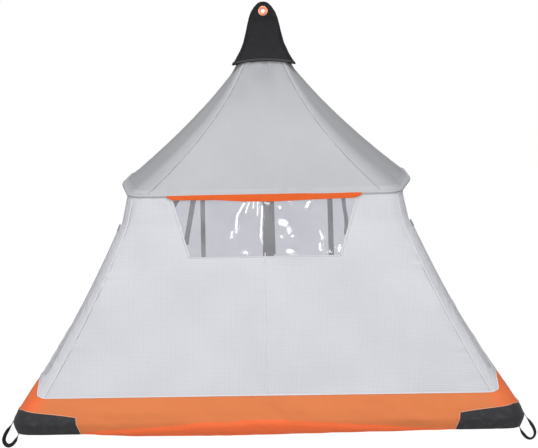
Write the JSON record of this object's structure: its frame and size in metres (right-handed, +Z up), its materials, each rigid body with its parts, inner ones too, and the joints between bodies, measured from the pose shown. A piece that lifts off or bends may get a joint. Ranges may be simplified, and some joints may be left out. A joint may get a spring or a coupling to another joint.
{
  "type": "portaledge",
  "caption": "Hanging tent of sloping cloth panels over a tube-framed fabric bed, slung by adjustable webbing from an eyelet at its peak, with a window, zipped corners and an orange hem.",
  "frame": {"origin": "centre of the hanging grommet at the peak", "axes": "+X along the bed's length, +Y from the front of the fly towards the wall it hangs against, +Z up"},
  "size_m": [2.3496, 1.2782, 1.96],
  "materials": {
    "tube": "drawn tube",
    "casting": "bent and anodised tube",
    "buckle_metal": "satin",
    "lever_metal": "satin",
    "bed": "heavy coated cloth",
    "webbing": "woven webbing",
    "fly_light": "coated ripstop",
    "fly_canopy": "coated ripstop",
    "fly_orange": "coated ripstop",
    "black_cloth": "heavy coated cloth",
    "copper": "copper plated, bright",
    "film": "clear film",
    "pole": "fibreglass rod",
    "zip": "coil zip",
    "slider": "cast"
  },
  "bodies": {
    "ledge": {"front_rail_left": "tube", "front_rail_right": "tube", "wall_rail_left": "tube", "wall_rail_right": "tube", "end_rail_left": "tube", "end_rail_right": "tube", "spreader_bar": "tube", "corner_elbow_front_left": "casting", "corner_elbow_front_right": "casting", "corner_elbow_wall_left": "casting", "corner_elbow_wall_right": "casting", "buckle_frame_front_left": "buckle_metal", "buckle_frame_front_middle": "buckle_metal", "buckle_frame_front_right": "buckle_metal", "buckle_frame_wall_left": "buckle_metal", "buckle_frame_wall_middle": "buckle_metal", "buckle_frame_wall_right": "buckle_metal", "bed_fabric": "bed", "bed_end_sleeve_left": "bed", "bed_end_sleeve_right": "bed", "suspension_head": "webbing", "strap_front_left": "webbing", "strap_front_middle": "webbing", "strap_front_right": "webbing", "strap_wall_left": "webbing", "strap_wall_middle": "webbing", "strap_wall_right": "webbing", "tie_down_loop_front_left": "webbing", "tie_down_loop_front_right": "webbing", "tie_down_loop_wall_left": "webbing", "tie_down_loop_wall_right": "webbing", "lower_fly_front": "fly_light", "lower_fly_left": "fly_light", "lower_fly_right": "fly_light", "brim_sleeve": "fly_light", "wall_panel": "fly_light", "upper_fly_front": "fly_canopy", "upper_fly_left": "fly_canopy", "upper_fly_right": "fly_canopy", "hem_band": "fly_orange", "apex_cap": "black_cloth", "corner_patch_front_left": "black_cloth", "corner_patch_front_right": "black_cloth", "corner_patch_wall_left": "black_cloth", "corner_patch_wall_right": "black_cloth", "apex_grommet": "copper", "window_pane": "film", "fly_pole": "pole", "zip_chain_left": "zip", "zip_chain_right": "zip"},
    "lever_front_left": {"buckle_lever_front_left": "lever_metal"},
    "lever_front_middle": {"buckle_lever_front_middle": "lever_metal"},
    "lever_front_right": {"buckle_lever_front_right": "lever_metal"},
    "lever_wall_left": {"buckle_lever_wall_left": "lever_metal"},
    "lever_wall_middle": {"buckle_lever_wall_middle": "lever_metal"},
    "lever_wall_right": {"buckle_lever_wall_right": "lever_metal"},
    "slider_left": {"zip_slider_left": "slider"},
    "slider_right": {"zip_slider_right": "slider"},
    "flap": {"storm_flap": "fly_orange"}
  },
  "joints": [
    {"name": "cam_front_left", "type": "hinge", "parent": "ledge", "child": "lever_front_left", "pos_m": [-0.29518, -0.1773, -0.65157], "axis": [0.8744, -0.1657, -0.456], "range_deg": [-22, 0], "stiffness_Nm_per_rad": 0.04, "springref_deg": 6.88},
    {"name": "cam_front_middle", "type": "hinge", "parent": "ledge", "child": "lever_front_middle", "pos_m": [0, -0.1773, -0.65157], "axis": [1, 0, 0], "range_deg": [-22, 0], "stiffness_Nm_per_rad": 0.04, "springref_deg": 6.88},
    {"name": "cam_front_right", "type": "hinge", "parent": "ledge", "child": "lever_front_right", "pos_m": [0.29518, -0.1773, -0.65157], "axis": [0.8744, 0.1657, 0.456], "range_deg": [-22, 0], "stiffness_Nm_per_rad": 0.04, "springref_deg": 6.88},
    {"name": "cam_wall_left", "type": "hinge", "parent": "ledge", "child": "lever_wall_left", "pos_m": [-0.29518, 0.1773, -0.65157], "axis": [-0.8744, -0.1657, 0.456], "range_deg": [-22, 0], "stiffness_Nm_per_rad": 0.04, "springref_deg": 6.88},
    {"name": "cam_wall_middle", "type": "hinge", "parent": "ledge", "child": "lever_wall_middle", "pos_m": [0, 0.1773, -0.65157], "axis": [-1, 0, 0], "range_deg": [-22, 0], "stiffness_Nm_per_rad": 0.04, "springref_deg": 6.88},
    {"name": "cam_wall_right", "type": "hinge", "parent": "ledge", "child": "lever_wall_right", "pos_m": [0.29518, 0.1773, -0.65157], "axis": [-0.8744, 0.1657, -0.456], "range_deg": [-22, 0], "stiffness_Nm_per_rad": 0.04, "springref_deg": 6.88},
    {"name": "zip_left_run", "type": "hinge", "parent": "ledge", "child": "slider_left", "pos_m": [-4.6973, -2.60988, 1.38164], "axis": [-0.4852, 0.8744, 0], "range_deg": [0, 7.8]},
    {"name": "zip_right_run", "type": "hinge", "parent": "ledge", "child": "slider_right", "pos_m": [4.6973, -2.60988, 1.38164], "axis": [-0.4852, -0.8744, 0], "range_deg": [0, 7.8]},
    {"name": "flap_lift", "type": "hinge", "parent": "ledge", "child": "flap", "pos_m": [0, -0.42725, -0.825], "axis": [1, 0, 0], "range_deg": [-140, 0]}
  ]
}
